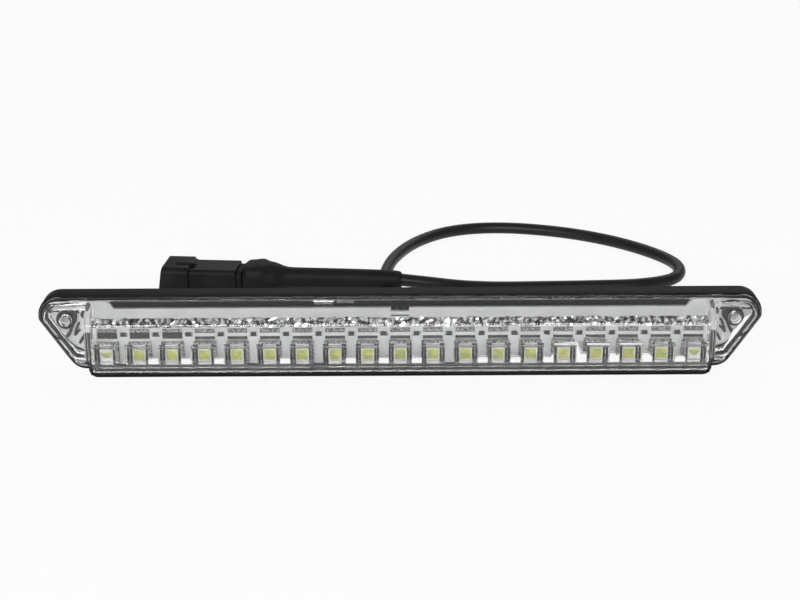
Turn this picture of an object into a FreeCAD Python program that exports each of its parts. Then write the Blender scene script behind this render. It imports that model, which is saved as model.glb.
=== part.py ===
import math
import os

import FreeCAD
import Part
import Sketcher

# Slim LED interior lamp: black tray, clear lens with one optic per LED, white board, rear lead with plug.
# Frame: X along the lamp, +Y towards the panel it is screwed to, +Z up. Origin under the lamp's middle.
# Depths inside the lamp are counted from the back face of the tray towards the light, along -Y.

DRIVING_SIZES = {
    # tray outline
    "lamp_length": 280.0,
    "lamp_height": 34.0,
    "lamp_depth": 20.0,
    "tray_depth": 8.4,
    "tray_wall": 2.0,
    "tray_floor": 2.0,
    "main_corner_radius": 3.5,
    "ear_length": 18.0,
    "ear_lift": 3.8,
    "ear_foot_run": 4.4,
    "ear_foot_radius": 7.0,
    "ear_tip_drop": 9.5,
    "ear_top_flat": 1.5,
    # screw holes through the ears
    "screw_end_gap": 11.0,
    "screw_drop": 8.8,
    "screw_hole_dia": 4.3,
    "boss_dia": 7.0,
    "boss_clearance": 0.3,
    # gasket and lens
    "gasket_thick": 0.6,
    "gasket_low_inset": 1.1,
    "gasket_ear_inset": 1.2,
    "gasket_top_inset": 0.6,
    "flange_thick": 1.5,
    "flange_corner_radius": 3.0,
    "lens_side_inset": 0.8,
    "lens_top_inset": 0.4,
    "lens_low_inset": 2.2,
    "lens_ear_inset": 3.3,
    "lens_wall": 2.0,
    "box_end_inset": 1.5,
    "box_foot_rise": 1.8,
    "front_low": 8.7,
    "front_drop": 8.1,
    "front_inside_drop": 0.8,
    "ridge_setback": 2.25,
    "ridge_drop": 4.8,
    "ridge_wall": 1.6,
    "crown_drop": 1.4,
    "ear_reach": 4.0,
    "ear_margin": 2.2,
    "ear_wall": 2.0,
    "ear_cave_gap": 0.5,
    # board and its parts
    "board_thick": 1.6,
    "board_recess": 0.4,
    "board_clearance": 1.0,
    "board_low": 4.2,
    "board_drop": 5.0,
    "tab_drop": 2.8,
    "tab_height": 11.2,
    "tab_width": 11.0,
    "tab_reach": 4.9,
    "tab_chamfer": 2.2,
    "notch_width": 7.0,
    "notch_depth": 1.5,
    "post_dia": 4.6,
    "post_end_gap": 19.0,
    "board_screw_offset": 2.5,
    "board_screw_drop": 7.0,
    "board_screw_dia": 1.8,
    "board_screw_head_dia": 3.6,
    "board_screw_head_thick": 0.9,
    "board_screw_grip": 3.0,
    "board_hole_clearance": 0.2,
    "led_end_gap": 6.65,
    "led_height": 11.0,
    "led_size": 5.0,
    "led_thick": 1.5,
    "phosphor_width": 4.2,
    "phosphor_depth": 0.3,
    "optic_gap": 0.5,
    "optic_tip_height": 7.4,
    "optic_tip_space": 5.25,
    "optic_root_space": 3.85,
    "optic_root_lift": 0.6,
    "rib_side_space": 5.05,
    "rib_depth": 1.2,
    "rib_gap": 0.8,
    "rib_end_gap": 1.0,
    "resistor_length": 3.2,
    "resistor_width": 1.6,
    "resistor_thick": 0.7,
    "resistor_rise": 7.2,
    "chip_length": 4.9,
    "chip_width": 3.9,
    "chip_thick": 1.5,
    "chip_offset": 42.0,
    "capacitor_dia": 4.2,
    "capacitor_length": 7.6,
    "capacitor_offset": 33.4,
    "diode_dia": 3.0,
    "diode_length": 6.6,
    "diode_offset": 24.4,
    "driver_drop": 11.0,
    "driver_rise": 2.3,
    # lead and its grommet
    "cable_dia": 5.6,
    "cable_exit_run": 9.0,
    "cable_plug_run": 12.0,
    "grommet_top_gap": 0.3,
    "grommet_neck_dia": 8.6,
    "grommet_flange_dia": 11.0,
    "grommet_flange_thick": 1.8,
    "grommet_lip_thick": 0.9,
    "grommet_collar_dia": 7.2,
    "grommet_collar_reach": 3.6,
    "grommet_tail_dia": 7.0,
    "grommet_tail_length": 10.0,
    "grommet_clearance": 0.2,
    "wire_dia": 1.6,
    "wire_gap": 2.8,
    # plug on the lead
    "plug_yaw": 5.0,
    "plug_back": 87.0,
    "plug_axis_height": 10.4,
    "sleeve_dia": 8.4,
    "sleeve_length": 48.6,
    "sleeve_end_radius": 1.4,
    "boot_taper_length": 10.0,
    "boot_head_length": 11.0,
    "boot_head_width": 17.0,
    "boot_head_low": 1.2,
    "boot_head_high": 17.0,
    "boot_corner": 3.0,
    "seal_length": 2.4,
    "seal_width": 15.4,
    "seal_low": 2.2,
    "seal_high": 14.3,
    "seal_corner": 3.0,
    "body_length": 21.0,
    "body_width": 17.0,
    "body_low": 1.4,
    "body_high": 15.1,
    "body_corner": 2.0,
    "collar_length": 14.2,
    "collar_width": 20.0,
    "collar_high": 16.2,
    "collar_corner": 2.6,
    "collar_slant": 2.4,
    "socket_depth": 12.0,
    "socket_wall": 1.8,
    "socket_corner": 1.7,
    "latch_length": 9.0,
    "latch_overhang": 2.25,
    "latch_width": 7.0,
    "latch_rise": 0.6,
    "blade_length": 9.0,
    "blade_width": 1.5,
    "blade_thick": 0.8,
    "blade_pitch": 6.0,
    "wedge_thick": 1.6,
    "wedge_clearance": 0.3,
}

LED_COUNT = 19
RIB_COUNT = 3
OPTIC_SHARE = 0.53  # of the lens front's height, the rest is left to the ribs
BEND_SHARE = 0.45  # of the shorter run at a bend, taken up by its arc
NEARLY_ROUND = 0.999  # keeps four short lines in a round section, so that it lofts to a square one

# Route of the lead between its straight ends, lying on the surface behind the lamp, chosen by eye.
CABLE_MIDDLE = [
    (-1.0, 41.0, 22.4),
    (-3.0, 53.0, 14.0),
    (-5.0, 65.0, 6.2),
    (-6.4, 79.0, 2.8),
    (-7.4, 99.0, 2.8),
    (-6.8, 119.0, 2.8),
    (-2.6, 142.0, 2.8),
    (8.4, 166.0, 2.8),
    (26.0, 183.4, 2.8),
    (51.0, 188.0, 2.8),
    (80.0, 180.0, 2.8),
    (104.0, 165.0, 2.8),
    (122.0, 145.0, 2.8),
    (131.0, 126.0, 2.8),
    (127.0, 107.6, 2.8),
    (110.0, 99.4, 2.8),
    (86.0, 97.8, 2.8),
    (62.0, 97.0, 3.0),
    (42.0, 93.4, 5.2),
    (26.0, 88.6, 8.4),
]

doc = FreeCAD.newDocument("interior_light")


class Size:
    # a number together with the expression that gives it in the sheet
    def __init__(self, value, text):
        self.value = value
        self.text = text

    def join(self, other, sign, value):
        right = other.text if isinstance(other, Size) else repr(float(other))
        return Size(value, "(" + self.text + " " + sign + " " + right + ")")

    def __add__(self, other):
        return self.join(other, "+", self.value + number(other))

    def __sub__(self, other):
        return self.join(other, "-", self.value - number(other))

    def __mul__(self, other):
        return self.join(other, "*", self.value * number(other))

    def __truediv__(self, other):
        return self.join(other, "/", self.value / number(other))

    def __neg__(self):
        return Size(-self.value, "(0 - " + self.text + ")")


def number(thing):
    return thing.value if isinstance(thing, Size) else float(thing)


def text_of(thing):
    return thing.text if isinstance(thing, Size) else repr(float(thing))


def root_of(size):
    return Size(math.sqrt(size.value), "sqrt(" + size.text + ")")


def write_sheet():
    sheet = doc.addObject("Spreadsheet::Sheet", "Sizes")
    for row, (alias, value) in enumerate(DRIVING_SIZES.items(), start=1):
        sheet.set("A%d" % row, alias)
        sheet.set("B%d" % row, str(value))
        sheet.setAlias("B%d" % row, alias)
    doc.recompute()
    return {alias: Size(float(sheet.get(alias)), "Sizes." + alias) for alias in DRIVING_SIZES}


size = write_sheet()

# depths from the tray's back
HALF_DEPTH = size["lamp_depth"] / 2
FLANGE_BACK = size["tray_depth"] + size["gasket_thick"]
FLANGE_FRONT = FLANGE_BACK + size["flange_thick"]
EAR_FRONT = FLANGE_BACK + size["ear_reach"]
EAR_INSIDE = EAR_FRONT - size["ear_wall"]
FRONT_INSIDE = size["lamp_depth"] - size["lens_wall"]
BOARD_FRONT = size["tray_depth"] - size["board_recess"]
BOARD_BACK = BOARD_FRONT - size["board_thick"]
LED_FRONT = BOARD_FRONT + size["led_thick"]

# places along the lamp, from its middle
LAMP_HALF = size["lamp_length"] / 2
MAIN_HALF = LAMP_HALF - size["ear_length"]
BOX_HALF = MAIN_HALF - size["box_end_inset"]
SCREW_X = LAMP_HALF - size["screw_end_gap"]
BOARD_HALF = MAIN_HALF - size["tray_wall"] - size["board_clearance"]
BOARD_SCREW_X = BOARD_HALF + size["board_screw_offset"]
POST_X = BOARD_HALF - size["post_end_gap"]
LED_PITCH = (BOX_HALF - size["led_end_gap"]) * (2 / (LED_COUNT - 1))
NOTCH_HALF = size["notch_width"] / 2

# heights
EAR_TIP_Z = size["lamp_height"] - size["ear_tip_drop"]
EAR_TOP_RADIUS = size["ear_tip_drop"] - size["ear_top_flat"]
SCREW_Z = size["lamp_height"] - size["screw_drop"]
FRONT_HIGH = size["lamp_height"] - size["front_drop"]
RIDGE_Z = size["lamp_height"] - size["ridge_drop"]
CROWN_Z = size["lamp_height"] - size["crown_drop"]
BOARD_HIGH = size["lamp_height"] - size["board_drop"]
TAB_HIGH = size["lamp_height"] - size["tab_drop"]
BOARD_SCREW_Z = size["lamp_height"] - size["board_screw_drop"]
POST_Z = size["lamp_height"] / 2
DRIVER_Z = size["lamp_height"] - size["driver_drop"]
OPTIC_LOW = size["front_low"] + size["optic_root_lift"]
OPTIC_HIGH = size["front_low"] + (FRONT_HIGH - size["front_low"]) * OPTIC_SHARE
RIB_LOW = OPTIC_HIGH + size["rib_gap"]
RIB_PITCH = (FRONT_HIGH - size["rib_end_gap"] - RIB_LOW) / RIB_COUNT
GROMMET_Z = (
    size["lamp_height"] - size["tray_wall"] - size["grommet_flange_dia"] / 2 - size["grommet_top_gap"]
)
NOTCH_LOW = BOARD_HIGH - size["notch_depth"]


def at_depth(depth):
    # place along -Y of a depth that is counted from the tray's back face
    return depth - HALF_DEPTH


def bind(thing, prop, value):
    thing.setExpression(prop, text_of(value))


def origin_plane(body, role):
    return next(f for f in body.Origin.OriginFeatures if f.Role == role)


def new_body(label):
    body = doc.addObject("PartDesign::Body", label)
    body.Label = label
    return body


def new_sketch(body, name, role, lift):
    sketch = body.newObject("Sketcher::SketchObject", name)
    sketch.AttachmentSupport = [(origin_plane(body, role), "")]
    sketch.MapMode = "FlatFace"
    if lift is not None:
        bind(sketch, "AttachmentOffset.Base.z", lift)
    return sketch


def pin_coordinate(sketch, kind, item, point, value):
    # ties one coordinate of a sketch point to the sheet, or to the axis where it is zero
    if not isinstance(value, Size) and float(value) == 0.0:
        axis = -2 if kind == "DistanceX" else -1
        sketch.addConstraint(Sketcher.Constraint("PointOnObject", item, point, axis))
        return
    index = sketch.addConstraint(Sketcher.Constraint(kind, -1, 1, item, point, number(value)))
    bind(sketch, "Constraints[%d]" % index, value)


def draw_polygon(sketch, corners):
    points = [FreeCAD.Vector(number(x), number(y), 0) for x, y in corners]
    first = sketch.GeometryCount
    total = len(points)
    for i in range(total):
        sketch.addGeometry(Part.LineSegment(points[i], points[(i + 1) % total]), False)
    for i in range(total):
        sketch.addConstraint(Sketcher.Constraint("Coincident", first + i, 2, first + (i + 1) % total, 1))
    for i, (x, y) in enumerate(corners):
        pin_coordinate(sketch, "DistanceX", first + i, 1, x)
        pin_coordinate(sketch, "DistanceY", first + i, 1, y)


def draw_circle(sketch, x, y, diameter):
    centre = FreeCAD.Vector(number(x), number(y), 0)
    item = sketch.addGeometry(Part.Circle(centre, FreeCAD.Vector(0, 0, 1), number(diameter) / 2), False)
    pin_coordinate(sketch, "DistanceX", item, 3, x)
    pin_coordinate(sketch, "DistanceY", item, 3, y)
    index = sketch.addConstraint(Sketcher.Constraint("Diameter", item, number(diameter)))
    bind(sketch, "Constraints[%d]" % index, diameter)


def add_feature(body, kind, name, sketch, length, reverse=False):
    feature = body.newObject("PartDesign::" + kind, name)
    feature.Profile = sketch
    feature.Reversed = reverse
    bind(feature, "Length", length)
    doc.recompute()
    return feature


def drawn_pad(body, name, role, lift, outlines, length, reverse=False):
    sketch = new_sketch(body, name + "_sketch", role, lift)
    for outline in outlines:
        draw_polygon(sketch, outline)
    return add_feature(body, "Pad", name, sketch, length, reverse)


def drawn_pocket(body, name, role, lift, outlines, length, reverse=False):
    sketch = new_sketch(body, name + "_sketch", role, lift)
    for outline in outlines:
        draw_polygon(sketch, outline)
    return add_feature(body, "Pocket", name, sketch, length, reverse)


def round_depth_edges(body, name, places, radius):
    # rounds the edges that run along Y through the given (x, z) places
    tip = body.Tip
    picked = []
    for index, edge in enumerate(tip.Shape.Edges, start=1):
        start = edge.Vertexes[0].Point
        end = edge.Vertexes[-1].Point
        runs_along_depth = abs(start.x - end.x) < 1e-6 and abs(start.z - end.z) < 1e-6
        if runs_along_depth and any(abs(start.x - x) < 1e-3 and abs(start.z - z) < 1e-3 for x, z in places):
            picked.append("Edge%d" % index)
    fillet = body.newObject("PartDesign::Fillet", name)
    fillet.Base = (tip, picked)
    bind(fillet, "Radius", radius)
    doc.recompute()


def both_sides(places):
    right = [(number(x), number(z)) for x, z in places]
    return right + [(-x, z) for x, z in right]


def round_ear(body, name, corners, inset):
    # the foot and the top corner of both ears, rounded about the same centres at every inset
    round_depth_edges(body, name + "_foot_rounds", both_sides(corners[2:3]), size["ear_foot_radius"] - inset)
    round_depth_edges(body, name + "_top_rounds", both_sides(corners[4:5]), EAR_TOP_RADIUS - inset)


# OUTLINE OF THE LAMP
# the right half of the outline, with each kind of edge moved inwards by its own inset


def right_corners(bottom, foot, side, top):
    slope = (size["ear_length"] - size["ear_foot_run"]) / (EAR_TIP_Z - size["ear_lift"])
    slant_shift = side * root_of(slope * slope + 1)
    foot_x = MAIN_HALF + size["ear_foot_run"] - slant_shift + slope * foot
    tip_rise = (slant_shift - side) / slope
    return [
        (MAIN_HALF - side, bottom),
        (MAIN_HALF - side, size["ear_lift"] + foot),
        (foot_x, size["ear_lift"] + foot),
        (LAMP_HALF - side, EAR_TIP_Z + tip_rise),
        (LAMP_HALF - side, size["lamp_height"] - top),
    ]


def whole_outline(right):
    return right + [(-x, z) for x, z in reversed(right)]


def grown(insets, extra):
    return [inset + extra for inset in insets]


NO_INSET = Size(0.0, "0")
WALL = size["tray_wall"]
LENS_INSETS = [size["lens_" + edge + "_inset"] for edge in ("low", "ear", "side", "top")]
TRAY_CORNERS = right_corners(NO_INSET, NO_INSET, NO_INSET, NO_INSET)
TRAY_INSIDE = right_corners(WALL, WALL, WALL, WALL)
FLANGE_CORNERS = right_corners(*LENS_INSETS)
GASKET_CORNERS = right_corners(
    size["gasket_low_inset"], size["gasket_ear_inset"], size["lens_side_inset"], size["gasket_top_inset"]
)


# BLACK TRAY


def make_tray():
    body = new_body("base_housing")
    back = at_depth(NO_INSET)
    drawn_pad(body, "tray_block", "XZ_Plane", back, [whole_outline(TRAY_CORNERS)], size["tray_depth"])
    hollow = size["tray_depth"] - size["tray_floor"]
    rim = at_depth(size["tray_depth"])
    drawn_pocket(body, "tray_hollow", "XZ_Plane", rim, [whole_outline(TRAY_INSIDE)], hollow)
    round_ear(body, "tray_inside", TRAY_INSIDE, WALL)
    round_ear(body, "tray", TRAY_CORNERS, NO_INSET)
    round_depth_edges(body, "tray_low_rounds", both_sides(TRAY_CORNERS[0:1]), size["main_corner_radius"])

    floor = at_depth(size["tray_floor"])
    bosses = new_sketch(body, "screw_boss_sketch", "XZ_Plane", floor)
    for side in (1, -1):
        draw_circle(bosses, SCREW_X * side, SCREW_Z, size["boss_dia"])
    boss_length = EAR_INSIDE - size["boss_clearance"] - size["tray_floor"]
    add_feature(body, "Pad", "screw_bosses", bosses, boss_length)

    posts = new_sketch(body, "board_post_sketch", "XZ_Plane", floor)
    for side in (1, -1):
        draw_circle(posts, BOARD_SCREW_X * side, BOARD_SCREW_Z, size["post_dia"])
        draw_circle(posts, POST_X * side, POST_Z, size["post_dia"])
        draw_circle(posts, POST_X / 2 * side, POST_Z, size["post_dia"])
    add_feature(body, "Pad", "board_posts", posts, BOARD_BACK - size["tray_floor"])

    through = new_sketch(body, "screw_hole_sketch", "XZ_Plane", at_depth(EAR_FRONT))
    for side in (1, -1):
        draw_circle(through, SCREW_X * side, SCREW_Z, size["screw_hole_dia"])
    add_feature(body, "Pocket", "screw_holes", through, EAR_FRONT)

    pilots = new_sketch(body, "pilot_hole_sketch", "XZ_Plane", at_depth(BOARD_BACK))
    for side in (1, -1):
        pilot = size["board_screw_dia"] + size["board_hole_clearance"]
        draw_circle(pilots, BOARD_SCREW_X * side, BOARD_SCREW_Z, pilot)
    pilot_depth = size["board_screw_grip"] + size["board_hole_clearance"]
    add_feature(body, "Pocket", "pilot_holes", pilots, pilot_depth)

    entry = new_sketch(body, "cable_hole_sketch", "XZ_Plane", floor)
    entry_dia = size["grommet_neck_dia"] + size["grommet_clearance"] * 2
    draw_circle(entry, 0, GROMMET_Z, entry_dia)
    add_feature(body, "Pocket", "cable_hole", entry, size["tray_floor"])
    return body


# GASKET


def make_gasket():
    body = new_body("lens_gasket")
    outlines = [whole_outline(GASKET_CORNERS), whole_outline(TRAY_INSIDE)]
    drawn_pad(body, "gasket_ring", "XZ_Plane", at_depth(size["tray_depth"]), outlines, size["gasket_thick"])
    round_ear(body, "gasket_inside", TRAY_INSIDE, WALL)
    round_ear(body, "gasket", GASKET_CORNERS, size["lens_side_inset"])
    return body


# CLEAR LENS


def section_point(depth, height):
    # a corner of the lens section, as Y and Z
    return (-at_depth(depth), height)


def lens_section():
    foot = size["lens_low_inset"] + size["box_foot_rise"]
    return [
        section_point(FLANGE_BACK, foot),
        section_point(FLANGE_FRONT, foot),
        section_point(size["lamp_depth"], size["front_low"]),
        section_point(size["lamp_depth"], FRONT_HIGH),
        section_point(size["lamp_depth"] - size["ridge_setback"], RIDGE_Z),
        section_point(FLANGE_FRONT, CROWN_Z),
        section_point(FLANGE_BACK, CROWN_Z),
    ]


def lens_hollow():
    wall = size["lens_wall"]
    foot = size["lens_low_inset"] + size["box_foot_rise"]
    low_slope = (size["front_low"] - foot) / (size["lamp_depth"] - FLANGE_FRONT)
    low_shift = wall * root_of(low_slope * low_slope + 1)
    ridge_depth = size["lamp_depth"] - size["ridge_setback"]
    top_slope = (CROWN_Z - RIDGE_Z) / (ridge_depth - FLANGE_FRONT)
    top_shift = wall * root_of(top_slope * top_slope + 1)
    ridge_wall = size["ridge_wall"]
    return [
        section_point(FLANGE_BACK, foot + low_shift - low_slope * size["flange_thick"]),
        section_point(FRONT_INSIDE, size["front_low"] + low_shift - low_slope * wall),
        section_point(FRONT_INSIDE, FRONT_HIGH - size["front_inside_drop"]),
        section_point(ridge_depth - ridge_wall, RIDGE_Z - top_shift + top_slope * ridge_wall),
        section_point(FLANGE_BACK, CROWN_Z - top_shift + top_slope * size["flange_thick"]),
    ]


def ear_outline(margin, inner_end, side):
    bottom, foot, flank, top = grown(LENS_INSETS, margin)
    corners = right_corners(bottom, foot, flank, top)[2:]
    corners = [(inner_end, corners[0][1])] + corners + [(inner_end, corners[-1][1])]
    return [(x * side, z) for x, z in corners]


def make_lens():
    body = new_body("lens_cover")
    flange_plane = at_depth(FLANGE_BACK)
    outline = whole_outline(FLANGE_CORNERS)
    drawn_pad(body, "flange", "XZ_Plane", flange_plane, [outline], size["flange_thick"])
    hollow_half = BOX_HALF - size["lens_wall"]
    cover_margin = size["ear_margin"]
    cave_margin = cover_margin + size["ear_wall"]
    drawn_pad(body, "lens_box", "YZ_Plane", -BOX_HALF, [lens_section()], BOX_HALF * 2)
    ears = [ear_outline(cover_margin, hollow_half, side) for side in (1, -1)]
    drawn_pad(body, "ear_covers", "XZ_Plane", at_depth(FLANGE_FRONT), ears, EAR_FRONT - FLANGE_FRONT)
    drawn_pocket(body, "lens_hollow", "YZ_Plane", hollow_half, [lens_hollow()], hollow_half * 2)
    caves = [ear_outline(cave_margin, BOX_HALF + size["ear_cave_gap"], side) for side in (1, -1)]
    drawn_pocket(body, "ear_hollows", "XZ_Plane", flange_plane, caves, EAR_INSIDE - FLANGE_BACK, reverse=True)
    holes = new_sketch(body, "lens_hole_sketch", "XZ_Plane", at_depth(EAR_FRONT))
    for side in (1, -1):
        draw_circle(holes, SCREW_X * side, SCREW_Z, size["screw_hole_dia"])
    add_feature(body, "Pocket", "lens_holes", holes, EAR_FRONT - EAR_INSIDE)
    for name, margin in (("cave", cave_margin), ("cover", cover_margin)):
        round_ear(body, name, right_corners(*grown(LENS_INSETS, margin)), size["lens_side_inset"] + margin)
    round_ear(body, "flange", FLANGE_CORNERS, size["lens_side_inset"])
    low_corners = both_sides(FLANGE_CORNERS[0:1])
    round_depth_edges(body, "flange_low_rounds", low_corners, size["flange_corner_radius"])
    add_optics(body)
    return body


def add_optics(body):
    # one tapered light guide per LED, from the front wall to just off the LED, with ribs above it
    first_x = led_x(0)
    root = new_sketch(body, "optic_root_sketch", "XZ_Plane", at_depth(FRONT_INSIDE))
    root_width = LED_PITCH - size["optic_root_space"]
    root_height = OPTIC_HIGH - OPTIC_LOW
    draw_polygon(root, centred_box(first_x, OPTIC_LOW + root_height / 2, root_width, root_height))
    tip = new_sketch(body, "optic_tip_sketch", "XZ_Plane", at_depth(LED_FRONT + size["optic_gap"]))
    tip_width = LED_PITCH - size["optic_tip_space"]
    draw_polygon(tip, centred_box(first_x, size["led_height"], tip_width, size["optic_tip_height"]))
    optic = body.newObject("PartDesign::AdditiveLoft", "optic")
    optic.Profile = root
    optic.Sections = [tip]
    optic.Ruled = True
    doc.recompute()
    ribs = []
    rib_plane = at_depth(FRONT_INSIDE)
    rib_width = LED_PITCH - size["rib_side_space"]
    rib_height = RIB_PITCH - size["rib_gap"]
    for index in range(RIB_COUNT):
        middle = RIB_LOW + RIB_PITCH * index + rib_height / 2
        outline = centred_box(first_x, middle, rib_width, rib_height)
        name = "optic_rib_%d" % (index + 1)
        ribs.append(drawn_pad(body, name, "XZ_Plane", rib_plane, [outline], size["rib_depth"], True))
    pattern = body.newObject("PartDesign::LinearPattern", "optic_row")
    pattern.Originals = [optic] + ribs
    pattern.Direction = (origin_plane(body, "X_Axis"), [""])
    pattern.Occurrences = LED_COUNT
    bind(pattern, "Length", LED_PITCH * (LED_COUNT - 1))
    body.Tip = pattern
    doc.recompute()


def centred_box(x, z, width, height):
    left = x - width / 2
    right = x + width / 2
    return [(left, z - height / 2), (right, z - height / 2), (right, z + height / 2), (left, z + height / 2)]


# BOARD AND THE PARTS ON IT


def make_board():
    body = new_body("circuit_board")
    tab_end = BOARD_HALF + size["tab_reach"]
    tab_start = tab_end - size["tab_width"]
    tab_low = TAB_HIGH - size["tab_height"]
    outline = whole_outline([
        (BOARD_HALF, size["board_low"]),
        (BOARD_HALF, tab_low),
        (tab_end, tab_low),
        (tab_end, TAB_HIGH),
        (tab_start, TAB_HIGH),
        (tab_start - size["tab_chamfer"], BOARD_HIGH),
        (NOTCH_HALF, BOARD_HIGH),
        (NOTCH_HALF, NOTCH_LOW),
    ])
    drawn_pad(body, "board_sheet", "XZ_Plane", at_depth(BOARD_BACK), [outline], size["board_thick"])
    holes = new_sketch(body, "board_hole_sketch", "XZ_Plane", at_depth(BOARD_FRONT))
    for side in (1, -1):
        hole = size["board_screw_dia"] + size["board_hole_clearance"] * 2
        draw_circle(holes, BOARD_SCREW_X * side, BOARD_SCREW_Z, hole)
    add_feature(body, "Pocket", "board_holes", holes, size["board_thick"])
    return body


def make_box(label, x, depth, z, width, thick, height):
    # a block centred on x and z, whose back lies at the given depth
    box = doc.addObject("Part::Box", label)
    box.Label = label
    bind(box, "Length", width)
    bind(box, "Width", thick)
    bind(box, "Height", height)
    bind(box, "Placement.Base.x", x - width / 2)
    bind(box, "Placement.Base.y", -at_depth(depth) - thick)
    bind(box, "Placement.Base.z", z - height / 2)
    return box


def make_round(label, x, depth, z, diameter, thick):
    # a disc whose axis runs along Y, from the given depth towards the light
    disc = doc.addObject("Part::Cylinder", label)
    disc.Label = label
    bind(disc, "Radius", diameter / 2)
    bind(disc, "Height", thick)
    disc.Placement = FreeCAD.Placement(FreeCAD.Vector(), FreeCAD.Rotation(FreeCAD.Vector(1, 0, 0), 90))
    bind(disc, "Placement.Base.x", x)
    bind(disc, "Placement.Base.y", -at_depth(depth))
    bind(disc, "Placement.Base.z", z)
    return disc


def combine(kind, label, base, tool):
    result = doc.addObject("Part::" + kind, label)
    result.Label = label
    result.Base = base
    result.Tool = tool
    return result


def group(label, members):
    bundle = doc.addObject("Part::Compound", label)
    bundle.Label = label
    bundle.Links = members
    return bundle


def led_x(index):
    return LED_PITCH * (index - (LED_COUNT - 1) / 2)


def make_leds():
    leds = []
    fills = []
    for index in range(LED_COUNT):
        x = led_x(index)
        package = make_box(
            "package_%02d" % (index + 1), x, BOARD_FRONT, size["led_height"],
            size["led_size"], size["led_thick"], size["led_size"],
        )
        dish_depth = LED_FRONT - size["phosphor_depth"]
        cutter = make_box(
            "dish_%02d" % (index + 1), x, dish_depth, size["led_height"],
            size["phosphor_width"], size["phosphor_depth"] * 2, size["phosphor_width"],
        )
        leds.append(combine("Cut", "led_%02d" % (index + 1), package, cutter))
        fills.append(make_box(
            "fill_%02d" % (index + 1), x, dish_depth, size["led_height"],
            size["phosphor_width"], size["phosphor_depth"], size["phosphor_width"],
        ))
    return leds + [group("led_phosphor", fills)]


def make_driver_parts():
    resistors = []
    resistor_z = size["led_height"] + size["resistor_rise"]
    for index in range(LED_COUNT - 1):
        x = led_x(index) + LED_PITCH / 2
        resistors.append(make_box(
            "resistor_%02d" % (index + 1), x, BOARD_FRONT, resistor_z,
            size["resistor_length"], size["resistor_thick"], size["resistor_width"],
        ))
    chip = make_box(
        "driver_chip", -size["chip_offset"], BOARD_BACK - size["chip_thick"], DRIVER_Z,
        size["chip_length"], size["chip_thick"], size["chip_width"],
    )
    can = make_lying("smoothing_capacitor", "capacitor")
    diode = make_lying("input_diode", "diode")
    return [group("board_resistors", resistors), chip, can, diode]


def make_lying(label, kind):
    # a round part that lies along X against the board's back and looks over its upper edge
    diameter = size[kind + "_dia"]
    body = doc.addObject("Part::Cylinder", label)
    body.Label = label
    bind(body, "Radius", diameter / 2)
    bind(body, "Height", size[kind + "_length"])
    body.Placement = FreeCAD.Placement(FreeCAD.Vector(), FreeCAD.Rotation(FreeCAD.Vector(0, 1, 0), 90))
    bind(body, "Placement.Base.x", -size[kind + "_offset"])
    bind(body, "Placement.Base.y", -at_depth(BOARD_BACK - diameter / 2))
    bind(body, "Placement.Base.z", BOARD_HIGH + size["driver_rise"] - diameter / 2)
    return body


def make_board_screws():
    screws = []
    for label, side in (("board_screw_left", -1), ("board_screw_right", 1)):
        x = BOARD_SCREW_X * side
        head = make_round(
            label + "_head", x, BOARD_FRONT, BOARD_SCREW_Z,
            size["board_screw_head_dia"], size["board_screw_head_thick"],
        )
        shank_start = BOARD_BACK - size["board_screw_grip"]
        shank = make_round(
            label + "_shank", x, shank_start, BOARD_SCREW_Z,
            size["board_screw_dia"], BOARD_FRONT - shank_start,
        )
        screws.append(combine("Fuse", label, head, shank))
    return screws


# GROMMET, WIRES AND LEAD


def make_grommet():
    # turned about the axis of the cable hole, clipped over the tray's floor
    body = new_body("cable_grommet")
    sketch = new_sketch(body, "grommet_sketch", "YZ_Plane", None)
    bind(sketch, "AttachmentOffset.Base.y", GROMMET_Z)
    back = HALF_DEPTH
    inside = HALF_DEPTH - size["tray_floor"]
    neck = size["grommet_neck_dia"] / 2
    flange = size["grommet_flange_dia"] / 2
    collar = size["grommet_collar_dia"] / 2
    tail = size["grommet_tail_dia"] / 2
    inner_lip = inside - size["grommet_lip_thick"]
    outer_lip = back + size["grommet_flange_thick"]
    inner_end = HALF_DEPTH - size["grommet_collar_reach"]
    outer_end = back + size["grommet_tail_length"]
    draw_polygon(sketch, [
        (inner_end, 0),
        (outer_end, 0),
        (outer_end, tail),
        (outer_lip, neck),
        (outer_lip, flange),
        (back, flange),
        (back, neck),
        (inside, neck),
        (inside, flange),
        (inner_lip, flange),
        (inner_lip, collar),
        (inner_end, collar),
    ])
    turned = body.newObject("PartDesign::Revolution", "grommet_turned")
    turned.Profile = sketch
    turned.ReferenceAxis = (sketch, ["H_Axis"])
    turned.Angle = 360
    doc.recompute()
    return body


def rounded_path(points):
    # straight runs joined by tangent arcs, each as large as its two runs allow
    corners = [FreeCAD.Vector(*p) for p in points]
    edges = []
    radii = []
    start = corners[0]
    for before, corner, after in zip(corners, corners[1:], corners[2:]):
        into = corner - before
        out_of = after - corner
        reach = BEND_SHARE * min(into.Length, out_of.Length)
        turn = into.getAngle(out_of)
        radii.append(reach / math.tan(turn / 2))
        into.normalize()
        out_of.normalize()
        arc_start = corner - into * reach
        arc_end = corner + out_of * reach
        inward = out_of - into
        inward.normalize()
        sagitta = radii[-1] * (1 / math.cos(turn / 2) - 1)
        edges.append(Part.LineSegment(start, arc_start).toShape())
        edges.append(Part.Arc(arc_start, corner + inward * sagitta, arc_end).toShape())
        start = arc_end
    edges.append(Part.LineSegment(start, corners[-1]).toShape())
    return Part.Wire(edges), radii


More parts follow.
